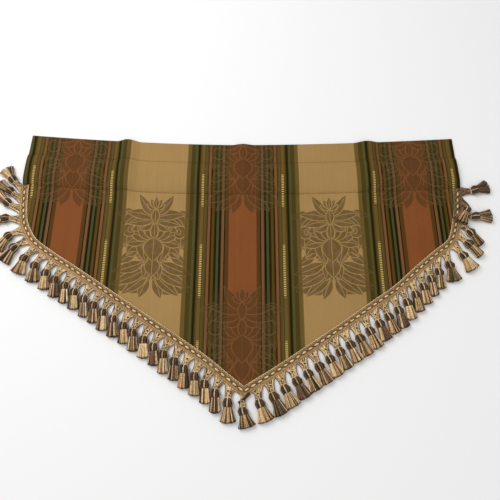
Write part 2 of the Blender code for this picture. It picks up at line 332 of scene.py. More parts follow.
@dataclass(frozen=True)
class SatinFinish:
    """Smooth cream satin of the dashes along the tape."""

    name: str
    main: Colour
    shadow: Colour
    spot_scale: float = 500.0
    depth: float = 0.0003

    def make(self) -> bpy.types.Material:
        """The material, with fine shadows between its threads."""
        book = NodeBook(self.name)
        spots = book.noise(book.place(), self.spot_scale, 1.0)
        colour = book.mix(spots.soft(0.35, 0.6), self.shadow, self.main)
        book.dress(colour, 0.3, spots, self.depth)
        book.set(Sheen_Weight=0.2, Sheen_Roughness=0.3, Specular_IOR_Level=0.6)
        return book.material


@dataclass(frozen=True)
class Stripe:
    """One warp stripe, from its distance from the middle of a rust band outwards."""

    start: float
    colour: Colour


def stripes_of(*rows: tuple[float, int, int, int]) -> tuple[Stripe, ...]:
    """Stripes from rows of a start and a screen colour."""
    return tuple(Stripe(start, srgb(*shades)) for start, *shades in rows)


@dataclass(frozen=True)
class Leaf:
    """One leaf of the woven motif, which is drawn on both sides of its middle line.

    Distances are in millimetres across from the middle and down from the motif's top. The
    turn is in degrees from straight up, and the bend is how far the tip leaves the axis.
    """

    across: float
    down: float
    turn: float
    length: float
    width: float
    bend: float


@dataclass(frozen=True)
class Scroll:
    """One curled leaf of the motif, round a centre, in millimetres and degrees."""

    across: float
    down: float
    radius: float
    start: float
    sweep: float
    width: float
    tighten: float


@dataclass(frozen=True)
class JacquardFinish:
    """Striped jacquard with a scrolling leaf motif in half-drop, on a map of metres."""

    name: str
    reverse: bool = False
    repeat_across: float = 0.4196
    repeat_down: float = 0.443
    drop: float = 0.2265
    motif_top: float = 0.139
    gold_edge: float = 0.1385
    rust_edge: float = 0.0313
    outline: float = 0.0008
    ladder_top: float = 0.088
    ladder_gap: float = 0.223
    ladder_gap_half: float = 0.050
    ladder_pitch: float = 0.0043
    ladder: tuple[float, float] = (0.0948, 0.1004)
    stitch_rows: tuple[float, float] = (0.054, 0.141)
    stitch_pitch: float = 0.0036
    gold_tone: Colour = srgb(107, 85, 43)
    plum_tone: Colour = srgb(119, 91, 60)
    gold_line: Colour = srgb(176, 146, 92)
    rust_tone: Colour = srgb(84, 57, 29)
    rust_line: Colour = srgb(132, 88, 52)
    veil: Colour = srgb(84, 66, 36)
    veil_line: Colour = srgb(116, 92, 54)
    bead: Colour = srgb(226, 196, 116)
    bead_gap: Colour = srgb(74, 58, 24)
    thread: Colour = srgb(92, 66, 36)
    wrong_side: Colour = srgb(120, 98, 66)
    stripes: tuple[Stripe, ...] = stripes_of(
        (0.0000, 134, 78, 41), (0.0322, 88, 57, 23), (0.0412, 38, 19, 2), (0.0440, 118, 84, 53),
        (0.0495, 84, 56, 27), (0.0512, 30, 22, 2), (0.0562, 74, 74, 41), (0.0620, 30, 25, 2),
        (0.0655, 52, 39, 4), (0.0680, 86, 68, 23), (0.0735, 58, 30, 2), (0.0775, 124, 86, 51),
        (0.0828, 74, 45, 15), (0.0855, 88, 70, 32), (0.0890, 94, 79, 37), (0.0925, 80, 64, 22),
        (0.0948, 108, 86, 41), (0.1010, 94, 75, 28), (0.1045, 70, 56, 19), (0.1070, 32, 25, 2),
        (0.1105, 48, 42, 10), (0.1130, 84, 78, 41), (0.1185, 76, 62, 24), (0.1280, 106, 86, 41),
        (0.1366, 128, 102, 51), (0.1385, 168, 134, 83))
    leaf_gap: float = 0.0011
    leaf_plump: tuple[float, float] = (5.2, 2.4)
    rib_half: float = 0.0009
    rib_share: float = 0.16
    blur: float = 0.001
    ladder_fade: float = 0.004
    warp_scale: float = 2600.0
    warp_run: float = 34.0
    warp_stray: float = 0.0008
    streak_scale: float = 150.0
    streak_run: float = 2.0
    cloud_scale: float = 9.0
    mellow_scale: float = 70.0
    pull_scale: float = 60.0
    weft_pitch: float = 0.0011
    depth: float = 0.0004
    sprays: tuple[Leaf | Scroll, ...] = (
        Leaf(0, 60, 180, 146, 58, 0), Leaf(2, 204, 124, 96, 34, -10), Leaf(50, 60, 76, 42, 11, 16),
        Leaf(5, 222, 146, 50, 12, 10), Leaf(8, 212, 134, 76, 12, -4),
        Leaf(12, 198, 126, 88, 13, -12), Leaf(20, 182, 118, 76, 13, -10),
        Leaf(40, 162, 112, 46, 12, 10), Scroll(60, 148, 18, 170, 300, 13, 0.35),
        Leaf(60, 104, 164, 46, 14, 10), Scroll(38, 162, 20, 100, -270, 14, 0.3),
        Leaf(24, 120, 172, 62, 15, 18), Scroll(38, 98, 35, 250, 225, 17, 0.1),
        Leaf(20, 132, 80, 44, 12, 16), Leaf(16, 128, 54, 46, 12, 10), Leaf(11, 126, 33, 46, 12, 5),
        Leaf(6, 124, 15, 46, 11, 0), Leaf(0, 124, 0, 46, 8, 0),
        Scroll(56, 104, 9, 320, 320, 12, 0.5), Leaf(5, 84, 106, 34, 12, 8),
        Leaf(5, 78, 84, 56, 12, 16), Leaf(4, 70, 60, 66, 14, 24), Leaf(3, 62, 46, 66, 11, -12),
        Leaf(1, 46, 50, 24, 7, 3), Leaf(1, 44, 24, 28, 6, 2), Leaf(0, 44, 0, 32, 6, 0),
        Leaf(0, 46, 180, 40, 9, 0), Leaf(4, 186, 146, 38, 13, 10), Leaf(0, 172, 180, 46, 17, 0),
        Leaf(0, 120, 180, 60, 22, 0))

    @staticmethod
    def _leaf(leaf: Leaf, across: Val, down: Val) -> tuple[Val, Val]:
        """Share of the way along a leaf, and the distance from its rib."""
        turn = math.radians(leaf.turn)
        ahead = Vector((math.sin(turn), -math.cos(turn))) / (leaf.length * 0.001)
        aside = Vector((math.cos(turn), math.sin(turn)))
        start = Vector((leaf.across, leaf.down)) * 0.001
        share = across * ahead.x + (down * ahead.y - ahead.dot(start))
        offset = across * aside.x + (down * aside.y - aside.dot(start))
        return share, abs(offset - share * share * (leaf.bend * 0.001))

    @staticmethod
    def _scroll(scroll: Scroll, across: Val, down: Val) -> tuple[Val, Val]:
        """Share of the way round a scroll, and the distance from its rib."""
        sides, drop = across - scroll.across * 0.001, down - scroll.down * 0.001
        turn = sides.math("ARCTAN2", drop * -1.0) / math.tau - scroll.start / 360
        turn = turn if scroll.sweep > 0 else turn * -1.0
        share = (turn - turn.math("FLOOR")) * (360 / abs(scroll.sweep))
        distance = (sides * sides + drop * drop).math("SQRT")
        return share, abs(distance - (1.0 - share * scroll.tighten) * (scroll.radius * 0.001))

    def _motif(self, across: Val, down: Val) -> tuple[Val, Val]:
        """Depth inside the motif's leaves, and inside their ribs.

        Args:
            across: metres from the motif's middle line.
            down: metres below its top.

        Returns:
            Two values in metres, larger than 0 inside the leaves and inside the ribs. Each
            leaf parts the ones before it with a narrow gap.
        """
        body = rib = None
        start, fall = self.leaf_plump
        for spray in self.sprays:
            place = self._leaf if isinstance(spray, Leaf) else self._scroll
            share, offset = place(spray, across, down)
            plump = (start - share * fall).high(1.0) * (spray.width * 0.001)
            width = share * (1.0 - share) * plump
            inside = width - offset
            line = (width * self.rib_share).low(self.rib_half) - offset
            if body is None:
                body, rib = inside, line
            else:
                parted = inside * -1.0
                body = body.low(parted - self.leaf_gap).high(inside)
                rib = rib.low(parted).high(line)
        return body, rib

    def _on_ladder(self, out: Val, down: Val) -> Val:
        """Where the bead stripe shows as a ladder."""
        inside = out.above(self.ladder[0]) * (1.0 - out.above(self.ladder[1]))
        from_gap = abs((down - self.ladder_gap).nearest(self.drop)) - self.ladder_gap_half
        shows = from_gap.soft(-self.ladder_fade, self.ladder_fade)
        return inside * shows * down.above(self.ladder_top)

    def _stitches(self, along: Val, down: Val) -> tuple[Val, Val]:
        """The stitch thread and the groove that it pulls, each in 0 to 1."""
        first, second = (abs(abs(down) - row) for row in self.stitch_rows)
        offset = first.low(second)
        thread, groove = 1.0 - offset.soft(0.0003, 0.0006), 1.0 - offset.soft(0.0004, 0.0018)
        return thread * (along / self.stitch_pitch).wave().soft(-0.7, -0.4), groove

    def make(self) -> bpy.types.Material:
        """The material of the cloth's right side, or of its duller wrong side."""
        book = NodeBook(self.name)
        along, down = book.uv()
        half_repeat = self.repeat_across / 2
        out = abs(along.nearest(self.repeat_across))
        on_gold = out.above(half_repeat / 2)
        across = out + on_gold * (half_repeat - out * 2.0)
        row = down - self.motif_top - (1.0 - on_gold) * self.drop + self.repeat_down
        motif_down = row - (row / self.repeat_down).math("FLOOR") * self.repeat_down
        body, rib = self._motif(across, motif_down)
        leaf = body.soft(-self.outline * 0.4, self.outline * 0.6)
        edge = 1.0 - abs(body).soft(self.outline * 0.5, self.outline * 1.3)
        line = rib.soft(-0.0002, 0.0004)

        # the ground's stripes, strayed by the warp's own threads
        fine = book.point(along * self.warp_scale, down * self.warp_run)
        warp = book.noise(fine, 1.0, 1.0)
        streaks = book.point(along * self.streak_scale, down * self.streak_run)
        streak = book.noise(streaks, 1.0)
        cloud = book.noise(book.point(along, down), self.cloud_scale)
        stops = [(s.start / half_repeat, s.colour) for s in self.stripes]
        stray = (out + (warp - 0.5) * self.warp_stray) / half_repeat
        colour = book.out("ShaderNodeValToRGB", {0: stray}, stops=stops)
        in_gold = out.soft(self.gold_edge - self.blur, self.gold_edge + self.blur)
        in_rust = 1.0 - out.soft(self.rust_edge - self.blur, self.rust_edge + self.blur)

        # the motif's leaves and lines, in the colours of the band that they cross
        mellow = book.noise(book.point(along, down), self.mellow_scale, 1.0)
        leaf_tone = book.mix(mellow.soft(0.40, 0.62), self.gold_tone, self.plum_tone)
        tone = book.mix(in_rust, book.mix(in_gold, self.veil, leaf_tone), self.rust_tone)
        lines = book.mix(in_gold, self.veil_line, self.gold_line)
        lines = book.mix(in_rust, lines, self.rust_line)
        zone = motif_down.soft(0.0, 0.04) * (1.0 - motif_down.soft(0.19, 0.24))
        reach = (out + motif_down * 0.25).soft(0.105, 0.122)
        veiled = zone * (1.0 - on_gold) * (1.0 - reach) * (in_rust * 0.05 + 0.2)
        colour = book.mix(veiled, colour, book.mix(in_rust, self.veil, self.rust_tone))
        colour = book.mix(leaf * (in_gold * 0.65 + in_rust * 0.38 + 0.30), colour, tone)
        colour = book.mix(edge * (0.56 - in_gold * 0.2), colour, lines)
        colour = book.mix(line * leaf * (in_gold * 0.40 + 0.30), colour, lines)

        # the ladder stripe, the stitches with painted shade in their grooves, and the uneven tone
        # of the whole
        on_ladder = self._on_ladder(out, down)
        ladder = (down / self.ladder_pitch).wave().soft(-0.2, 0.5) * on_ladder
        colour = book.mix(on_ladder, colour, self.bead_gap)
        colour = book.mix(ladder, colour, self.bead)
        thread, groove = self._stitches(along, down)
        pulled = book.noise(book.point(along * self.pull_scale, 0.0), 1.0, 1.0)
        # painted shade in the groove that each row of stitches pulls
        colour = book.shade(colour, 1.0 - groove * 0.09)
        colour = book.mix(thread * (pulled.soft(0.40, 0.60) * 0.45 + 0.5), colour, self.thread)
        if self.reverse:
            colour = book.mix(0.45, colour, self.wrong_side)
        # uneven tone over the whole cloth: warp threads, streaks and soft blotches at random
        colour = book.shade(colour, warp * 0.22 + streak * 0.16 + cloud * 0.16 + 0.73)
        weft = (down / self.weft_pitch).wave() * 0.5 + 0.5
        height = weft * 0.35 + warp * 0.35 + leaf * 0.3 - groove * 0.9 + ladder * 0.5
        satin = 0.50 + leaf * 0.12 - in_gold * (1.0 - leaf) * 0.04
        book.dress(colour, satin, height, self.depth)
        book.set(Specular_IOR_Level=0.04)
        return book.material


@dataclass(frozen=True)
class FloorFinish:
    """Plain pale studio floor."""

    name: str = "pale_floor"
    colour: Colour = (0.98, 0.98, 0.98)

    def make(self) -> bpy.types.Material:
        """The floor's material."""
        book = NodeBook(self.name)
        book.feed(book.shader.inputs["Base Color"], self.colour)
        book.set(Roughness=0.9, Specular_IOR_Level=0.1)
        return book.material


class Wardrobe:
    """Every finish of the valance, each made once."""

    def __init__(self) -> None:
        """Make the materials."""
        self.cloth = JacquardFinish("jacquard_right_side").make()
        self.cloth_back = JacquardFinish("jacquard_wrong_side", reverse=True).make()
        # the tape's tan, and the dark colour of the painted shade in its weave's gaps
        self.tape = WovenTapeFinish("tan_tape_weave", srgb(188, 152, 102),
                                    srgb(92, 64, 34)).make()
        self.satin = SatinFinish("cream_satin", srgb(248, 220, 168), srgb(196, 154, 102)).make()
        # each yarn's main colour and its lighter glint colour, a painted highlight
        shades = {
            GOLD: (srgb(190, 150, 98), srgb(224, 188, 132)),
            PALE: (srgb(220, 188, 138), srgb(246, 220, 172)),
            COPPER: (srgb(160, 114, 74), srgb(202, 154, 108)),
            OLIVE: (srgb(96, 82, 50), srgb(140, 120, 80)),
            MAUVE: (srgb(100, 62, 46), srgb(148, 98, 76)),
            BROWN: (srgb(84, 58, 32), srgb(130, 94, 56)),
            DARK: (srgb(38, 24, 12), srgb(74, 50, 30)),
            NET: (srgb(186, 150, 102), srgb(226, 194, 146)),
            TIE: (srgb(228, 200, 152), srgb(252, 232, 190)),
        }
        self.yarn = {role: YarnFinish(role.value, *pair).make() for role, pair in shades.items()}


# Shapes shared with the solids, in metres


@dataclass(frozen=True)
class Fold:
    """A soft ridge left by the way the cloth was folded away."""

    x: float
    height: float
    half_width: float
    length: float


@dataclass(frozen=True)
class Bed:
    """Where the cloth lies: its outline's top and sides, and its height over the floor."""

    cloth: float = 0.0015
    layer_gap: float = 0.0005
    left_corner: float = -0.539
    right_corner: float = 0.533
    left_side: float = -0.543
    right_side: float = 0.536
    top_middle: float = 0.302
    rise_left: float = 0.029
    rise_right: float = 0.0185
    rise_power: float = 1.7
    header: float = 0.054
    pocket: float = 0.087
    hem_past_stitch: float = 0.008
    step_down: float = 0.018
    pocket_rise: float = 0.0065
    pocket_flatness: float = 4.0
    pocket_margin: float = 0.016
    tape_ease: float = 0.006
    folds: tuple[Fold, ...] = (Fold(-0.290, 0.012, 0.034, 0.330),
                               Fold(0.000, 0.006, 0.030, 0.280),
                               Fold(0.314, 0.009, 0.034, 0.330))

    @property
    def pocket_end(self) -> float:
        """Depth of the second row of stitches."""
        return self.header + self.pocket

    @property
    def hem_end(self) -> float:
        """Depth of the turned heading's lower edge."""
        return self.pocket_end + self.hem_past_stitch

    @property
    def turn_radius(self) -> float:
        """Radius of the sheet's middle where it turns over at the top."""
        return (self.cloth + self.layer_gap) / 2

    def top(self, x: float) -> float:
        """The top edge, which dips towards the middle."""
        left = (self.rise_left, -self.left_side)
        rise, half = left if x < 0 else (self.rise_right, self.right_side)
        return self.top_middle + rise * (abs(x) / half) ** self.rise_power

    def lift(self, x: float, depth: float) -> float:
        """Height of the storage folds over the floor, at a depth below the top edge."""
        lift = 0.0
        for fold in self.folds:
            across = (x - fold.x) / fold.half_width
            if abs(across) < 1.0:
                crown = math.cos(0.5 * math.pi * across) ** 2
                lift += fold.height * crown * (1.0 - ease(depth / fold.length))
        return lift

    def face(self, x: float, depth: float) -> float:
        """Middle of the face layer: on the back layer in the heading, on the floor below."""
        over_back = 1.0 - ease((depth - self.hem_end) / self.step_down)
        across = abs(2.0 * (depth - self.header) / self.pocket - 1.0)
        puff = max(0.0, 1.0 - across ** self.pocket_flatness) * self.pocket_rise
        return self.cloth / 2 + 2 * self.turn_radius * over_back + puff + self.lift(x, depth)

    def back(self, x: float, depth: float) -> float:
        """Middle of the turned-over back layer, which lies flat under the open pocket."""
        leaves = ease((depth - self.header) / self.pocket_margin)
        returns = ease((depth - self.pocket_end + self.pocket_margin) / self.pocket_margin)
        return self.cloth / 2 + self.lift(x, depth) * (1.0 - leaves + returns)

    def over(self, x: float, y: float) -> float:
        """Top of the cloth where the tape lies on it."""
        depth = max(self.top(x) - y - self.tape_ease, self.pocket_end)
        return self.face(x, depth) + self.cloth / 2


def reaches(line: Sequence[Vector]) -> list[float]:
    """Distance along a line at each of its points."""
    return list(accumulate(((b - a).length for a, b in zip(line, line[1:])), initial=0.0))


def locate(reach: Sequence[float], distance: float) -> tuple[int, float]:
    """The segment that holds a distance, by its end point's place, and the share of it."""
    i = bisect_left(reach, distance, 1, len(reach) - 1)
    return i, (distance - reach[i - 1]) / (reach[i] - reach[i - 1])


class Route:
    """The line of satin dashes, from the top of each side to the point of the valance."""

    LEFT = ((-0.5345, 0.187), (-0.5329, 0.148), (-0.5289, 0.116), (-0.5225, 0.087),
            (-0.5090, 0.060), (-0.4895, 0.035), (-0.4390, -0.001), (-0.3850, -0.035),
            (-0.2835, -0.102), (-0.1805, -0.170), (-0.0870, -0.233), (-0.0395, -0.270),
            (0.0040, -0.3035))
    RIGHT = ((0.0040, -0.3035), (0.0860, -0.254), (0.1415, -0.218), (0.2225, -0.1655),
             (0.3015, -0.112), (0.3530, -0.077), (0.4066, -0.031), (0.4560, 0.009),
             (0.4832, 0.029), (0.4970, 0.047), (0.5090, 0.082), (0.5190, 0.122),
             (0.5262, 0.178))
    STEPS = 12
    LEFT_TASSELS = 27
    RIGHT_TASSELS = 26
    LEAD = 0.007

    def __init__(self) -> None:
        """Work out the smooth line, its lengths and the turn at the point."""
        left, right = self._spline(self.LEFT), self._spline(self.RIGHT)
        self.line = [*left, *right[1:]]
        self.reach = reaches(self.line)
        self.tip = self.reach[len(left) - 1]
        before = (left[-1] - left[-2]).normalized()
        after = (right[1] - right[0]).normalized()
        mean = (before + after).normalized()
        share = mean.dot(before)
        self.mitre = right_of(mean) / share
        self.mitre_run = math.sqrt(1.0 - share * share) / share
        self.stations = self._stations(left, right)

    def _spline(self, table: Sequence[tuple[float, float]]) -> list[Vector]:
        """Closely spaced points of a smooth curve through a table's points."""
        points = [Vector(p) for p in table]
        points = [2 * points[0] - points[1], *points, 2 * points[-1] - points[-2]]
        curve = []
        for before, start, end, after in zip(points, points[1:], points[2:], points[3:]):
            for step in range(self.STEPS):
                t = step / self.STEPS
                curve.append(0.5 * (2 * start + (end - before) * t
                                    + (2 * before - 5 * start + 4 * end - after) * t ** 2
                                    + (3 * start - before - 3 * end + after) * t ** 3))
        return [*curve, points[-2]]

    @staticmethod
    def _spaced(curve: list[Vector], lead_in: float, lead_out: float, count: int) -> list[Vector]:
        """Points at equal steps along a curve, count + 1 of them, inside the leads."""
        reach = reaches(curve)
        step = (reach[-1] - lead_in - lead_out) / count
        found = (locate(reach, lead_in + step * k) for k in range(count + 1))
        return [curve[i - 1].lerp(curve[i], share) for i, share in found]

    def _stations(self, left: list[Vector], right: list[Vector]) -> list[Vector]:
        """The tape's two cut ends and each tassel's place between them."""
        down = self._spaced(left, self.LEAD, 0.0, self.LEFT_TASSELS)
        up = self._spaced(right, 0.0, self.LEAD, self.RIGHT_TASSELS)
        return [Vector(self.LEFT[0]), *down, *up[1:], Vector(self.RIGHT[-1])]

    def normals(self) -> list[Vector]:
        """Outward direction at each station, longer where the trim is mitred."""
        ways = [(b - a).normalized() for a, b in zip(self.stations, self.stations[1:])]
        found = []
        for first, second in zip([ways[0], *ways], [*ways, ways[-1]]):
            mean = (first + second).normalized()
            found.append(right_of(mean) / mean.dot(first))
        return found

    def at(self, distance: float) -> tuple[Vector, Vector]:
        """Point and travel direction at a distance along the line."""
        i, share = locate(self.reach, min(max(distance, 0.0), self.reach[-1]))
        start, end = self.line[i - 1], self.line[i]
        return start.lerp(end, share), (end - start).normalized()

    def offset(self, distance: float, across: float) -> Vector:
        """Point beside the line, kept on its own side of the mitre at the point.

        Args:
            distance: metres along the line.
            across: metres outwards from it, or inwards where it is negative.

        Returns:
            The point in the plan.
        """
        if abs(distance - self.tip) < max(-across * self.mitre_run, TINY):
            return Vector(self.LEFT[-1]) + self.mitre * across
        place, way = self.at(distance)
        return place + right_of(way) * across

    def distances(self, step: float) -> list[float]:
        """Distances at about equal steps that include the point itself."""
        ahead = max(1, round(self.tip / step))
        behind = max(1, round((self.reach[-1] - self.tip) / step))
        first = [self.tip * k / ahead for k in range(ahead)]
        return [*first, *(self.tip + (self.reach[-1] - self.tip) * k / behind
                          for k in range(behind + 1))]


# Pieces


def register(piece: bpy.types.Object, slot: str, *nodes: str) -> bpy.types.Object:
    """Let a finished piece ride on the body and stand for its nodes.

    Args:
        piece: the finished piece.
        slot: the record's material slot.
        nodes: the solids that it replaces.

    Returns:
        The same piece.
    """
    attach(piece, BODY)
    if nodes:
        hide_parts(*nodes)
    LOG.info("%s: %d faces", piece.name, len(piece.data.polygons))
    return piece


def add_object(name: str, data: Any) -> bpy.types.Object:
    """Link a new object to the scene."""
    item = bpy.data.objects.new(name, data)
    bpy.context.scene.collection.objects.link(item)
    return item


def select_only(piece: bpy.types.Object) -> None:
    """Make one object the selected and active one."""
    bpy.ops.object.select_all(action="DESELECT")
    piece.select_set(True)
    bpy.context.view_layer.objects.active = piece


def new_piece(name: str, data: Any, materials: Iterable[bpy.types.Material]) -> bpy.types.Object:
    """Link a new object with its materials and select it alone."""
    for material in materials:
        data.materials.append(material)
    piece = add_object(name, data)
    select_only(piece)
    return piece


def lay_flat(bm: bmesh.types.BMesh, flat: dict[Any, tuple[float, float]]) -> None:
    """Smooth a form, turn its faces outwards and map each vertex to metres of flat cloth."""
    layer = bm.loops.layers.uv.new("UVMap")
    for face in bm.faces:
        face.smooth = True
        for loop in face.loops:
            loop[layer].uv = flat[loop.vert]
    bmesh.ops.recalc_face_normals(bm, faces=bm.faces)


def mesh_of(bm: bmesh.types.BMesh, name: str) -> bpy.types.Mesh:
    """Write a form to a new mesh and free the form."""
    mesh = bpy.data.meshes.new(name)
    bm.to_mesh(mesh)
    bm.free()
    return mesh


class YarnBundle:
    """Strands of yarn as the splines of one curve, which becomes one mesh."""

    def __init__(self, name: str, roles: Sequence[YarnRole], wardrobe: Wardrobe) -> None:
        """Start an empty bundle.

        Args:
            name: the piece's name.
            roles: the kinds of yarn in it.
            wardrobe: the finishes.
        """
        self.roles = list(roles)
        self.curve = bpy.data.curves.new(name, "CURVE")
        self.curve.dimensions = "3D"
        self.curve.bevel_depth = 1.0
        self.curve.bevel_resolution = 0
        self.curve.use_fill_caps = True
        self.piece = new_piece(name, self.curve, (wardrobe.yarn[role] for role in self.roles))

    def strand(self, points: Sequence[Vector], radii: Any, role: YarnRole,
               closed: bool = False) -> None:
        """Add one strand.

        Args:
            points: its middle line.
            radii: one radius, or one at each point.
            role: its yarn.
            closed: whether it is a ring.
        """
        spline = self.curve.splines.new("POLY")
        spline.points.add(len(points) - 1)
        for index, point in enumerate(points):
            spline.points[index].co = (*point, 1.0)
            spline.points[index].radius = radii if isinstance(radii, float) else radii[index]
        spline.use_cyclic_u = closed
        spline.use_smooth = True
        spline.material_index = self.roles.index(role)

    def finish(self) -> bpy.types.Object:
        """Make the strands a mesh.

        Returns:
            The piece, at the origin.
        """
        select_only(self.piece)
        bpy.ops.object.convert(target="MESH")
        return bpy.context.view_layer.objects.active


@dataclass
class ClothPanel:
    """The striped cloth with its turned heading, puckers and creases."""

    STITCH_CELLS = (-0.0045, -0.0028, -0.0014, 0, 0.0014, 0.0028, 0.0045)
    UNDER_FACE = Vector((0.2, 0, 0))

    bed: Bed
    route: Route
    wardrobe: Wardrobe
    past_route: float = 0.0080
    outline_step: float = 0.009
    cell: float = 0.009
    fine_cell: float = 0.0045
    crease_cell: float = 0.0015
    least_cell: float = 0.0012
    side_cells: int = 59
    fold_cells: int = 7
    crease_cells: int = 4
    lowest_row: float = 0.615
    stitch_room: float = 0.006
    hem_room: float = 0.002
    groove: float = 0.0004
    groove_half: float = 0.0030
    pucker: float = 0.0006
    pucker_reach: float = 0.020
    crease_x: float = -0.0085
    crease_height: float = 0.0008
    crease_half: float = 0.0045
    crease_start: float = 0.10
    crease_end: float = 0.30
    crease_fades: tuple[float, float] = (0.05, 0.10)
    ripple: float = 0.0004
    ripple_start: float = 0.05
    smooth_degrees: float = 55
    cut_width: float = 1.079
    cut_length: float = 0.766
    cut_area: float = 0.637
    turn_angles: tuple[float, ...] = (30, 60, 90, 120, 150, 180)

    def _rows(self) -> list[float]:
        """Depths of the rows, closer at the stitches."""
        rows = [k * self.cell for k in range(1, int(self.lowest_row / self.cell))]
        for stitch in (self.bed.header, self.bed.pocket_end):
            rows = [r for r in rows if abs(r - stitch) > self.stitch_room]
            rows += [stitch + d for d in self.STITCH_CELLS]
        return sorted(rows)

    def _columns(self) -> list[float]:
        """Places of the columns, closer on the ridges."""
        columns = [k * self.cell for k in range(-self.side_cells, self.side_cells + 1)]
        for fold in self.bed.folds:
            columns += [fold.x + k * self.fine_cell
                        for k in range(-self.fold_cells, self.fold_cells + 1)]
        columns += [self.crease_x + k * self.crease_cell
                    for k in range(-self.crease_cells, self.crease_cells + 1)]
        kept = [self.bed.left_side - self.cell]
        for x in sorted(columns):
            inside = self.bed.left_side < x < self.bed.right_side
            if inside and x - kept[-1] > self.least_cell:
                kept.append(x)
        return kept[1:]

    def _outline(self) -> list[tuple[float, float]]:
        """The outline as x and depth below the top edge, from corner to corner."""
        bed, radius = self.bed, self.bed.turn_radius
        edge = [(bed.left_corner, radius)]
        for distance in self.route.distances(self.outline_step):
            place = self.route.offset(distance, self.past_route)
            edge.append((place.x, bed.top(place.x) - place.y))
        return [*edge, (bed.right_corner, radius)]

    @staticmethod
    def _pucker_wave(x: float) -> float:
        """Uneven swing from -1 to 1 of the cloth along a row of stitches."""
        return (math.sin(x * 310 + 2.1 * math.sin(x * 37)) + math.sin(x * 173 + 1.0)) * 0.5

    @staticmethod
    def _ripple_wave(x: float, depth: float) -> float:
        """Slow uneven swing from -1 to 1 over the whole cloth."""
        return math.sin(x * 29 + 5 * depth) * math.sin(depth * 41 + 1.3 * math.sin(x * 9))

    def _relief(self, x: float, depth: float) -> float:
        """Grooves at the stitches, puckers beside them, a crease and a slight ripple."""
        relief = 0.0
        for stitch, share in ((self.bed.header, 0.5), (self.bed.pocket_end, 1.0)):
            offset = abs(depth - stitch)
            relief -= self.groove * (1.0 - ease(offset / self.groove_half))
            fade = 1.0 - ease(offset / self.pucker_reach)
            relief += self.pucker * share * self._pucker_wave(x) * fade
        crease = 1.0 - ease(abs(x - self.crease_x) / self.crease_half)
        starts = ease((depth - self.crease_start) / self.crease_fades[0])
        ends = ease((depth - self.crease_end) / self.crease_fades[1])
        relief += self.crease_height * crease * (starts * (1.0 - ends))
        ripple = self.ripple * (1.0 + self._ripple_wave(x, depth))
        return relief + ripple * ease(depth / self.ripple_start)

    def build(self) -> bpy.types.Mesh:
        """Cut the outline into cells, turn the heading over and give the sheet its form.

        Returns:
            The sheet before it has a thickness.
        """
        bed, radius = self.bed, self.bed.turn_radius
        bm = bmesh.new()
        corners = [bm.verts.new((x, -d, 0)) for x, d in self._outline()]
        bmesh.ops.contextual_create(bm, geom=corners)
        cuts = [((x, 0, 0), (1, 0, 0)) for x in self._columns()]
        cuts += [((0, -d, 0), (0, 1, 0)) for d in self._rows()]
        for place, normal in cuts:
            geometry = bm.verts[:] + bm.edges[:] + bm.faces[:]
            bmesh.ops.bisect_plane(bm, geom=geometry, plane_co=place, plane_no=normal)
        placed = [(v, v.co.x, -v.co.y, "face") for v in bm.verts]
        edges = [e for e in bm.edges if e.is_boundary
                 and all(abs(v.co.y + radius) < TINY for v in e.verts)]
        around = [(radius * (1 - math.sin(math.radians(a))), math.cos(math.radians(a)))
                  for a in self.turn_angles]
        down = [(row, "back") for row in self._rows() if row < bed.hem_end - self.hem_room]
        for depth, kind in (*around, *down, (bed.hem_end, "back")):
            made = bmesh.ops.extrude_edge_only(bm, edges=edges)["geom"]
            edges = [g for g in made if isinstance(g, bmesh.types.BMEdge)]
            placed += [(g, g.co.x, depth, kind)
                       for g in made if isinstance(g, bmesh.types.BMVert)]
        flat = {}
        for vert, x, depth, kind in placed:
            if kind == "face":
                z, travel = bed.face(x, depth) + self._relief(x, depth), depth
            elif kind == "back":
                z, travel = bed.back(x, depth), -depth
            else:
                z = bed.back(x, radius) + radius * (1.0 + kind)
                z += self._relief(x, radius) * (1.0 + kind) / 2
                travel = -depth if kind < 0 else depth * kind
            vert.co = (x, bed.top(x) - depth, z)
            flat[vert] = (x, travel)
        lay_flat(bm, flat)
        nearest = min(bm.faces, key=lambda f: (f.calc_center_median() - self.UNDER_FACE).length)
        if nearest.normal.z < 0:
            bmesh.ops.reverse_faces(bm, faces=bm.faces)
        return mesh_of(bm, "cloth_panel")

    def dress(self, mesh: bpy.types.Mesh) -> bpy.types.Object:
        """Give the sheet its thickness and its two sides.

        Args:
            mesh: the thin sheet.

        Returns:
            The finished cloth.
        """
        LOG.info("cut area %.4f m2", sum(p.area for p in mesh.polygons))
        finishes = (self.wardrobe.cloth, self.wardrobe.cloth_back)
        piece = new_piece("cloth_panel", mesh, finishes)
        solidify = piece.modifiers.new("thickness", "SOLIDIFY")
        solidify.thickness = self.bed.cloth
        solidify.offset = 0.0
        solidify.material_offset = 1
        bpy.ops.object.modifier_apply(modifier=solidify.name)
        bpy.ops.object.shade_smooth_by_angle(angle=math.radians(self.smooth_degrees))
        return register(piece, "striped_cloth", "panel")


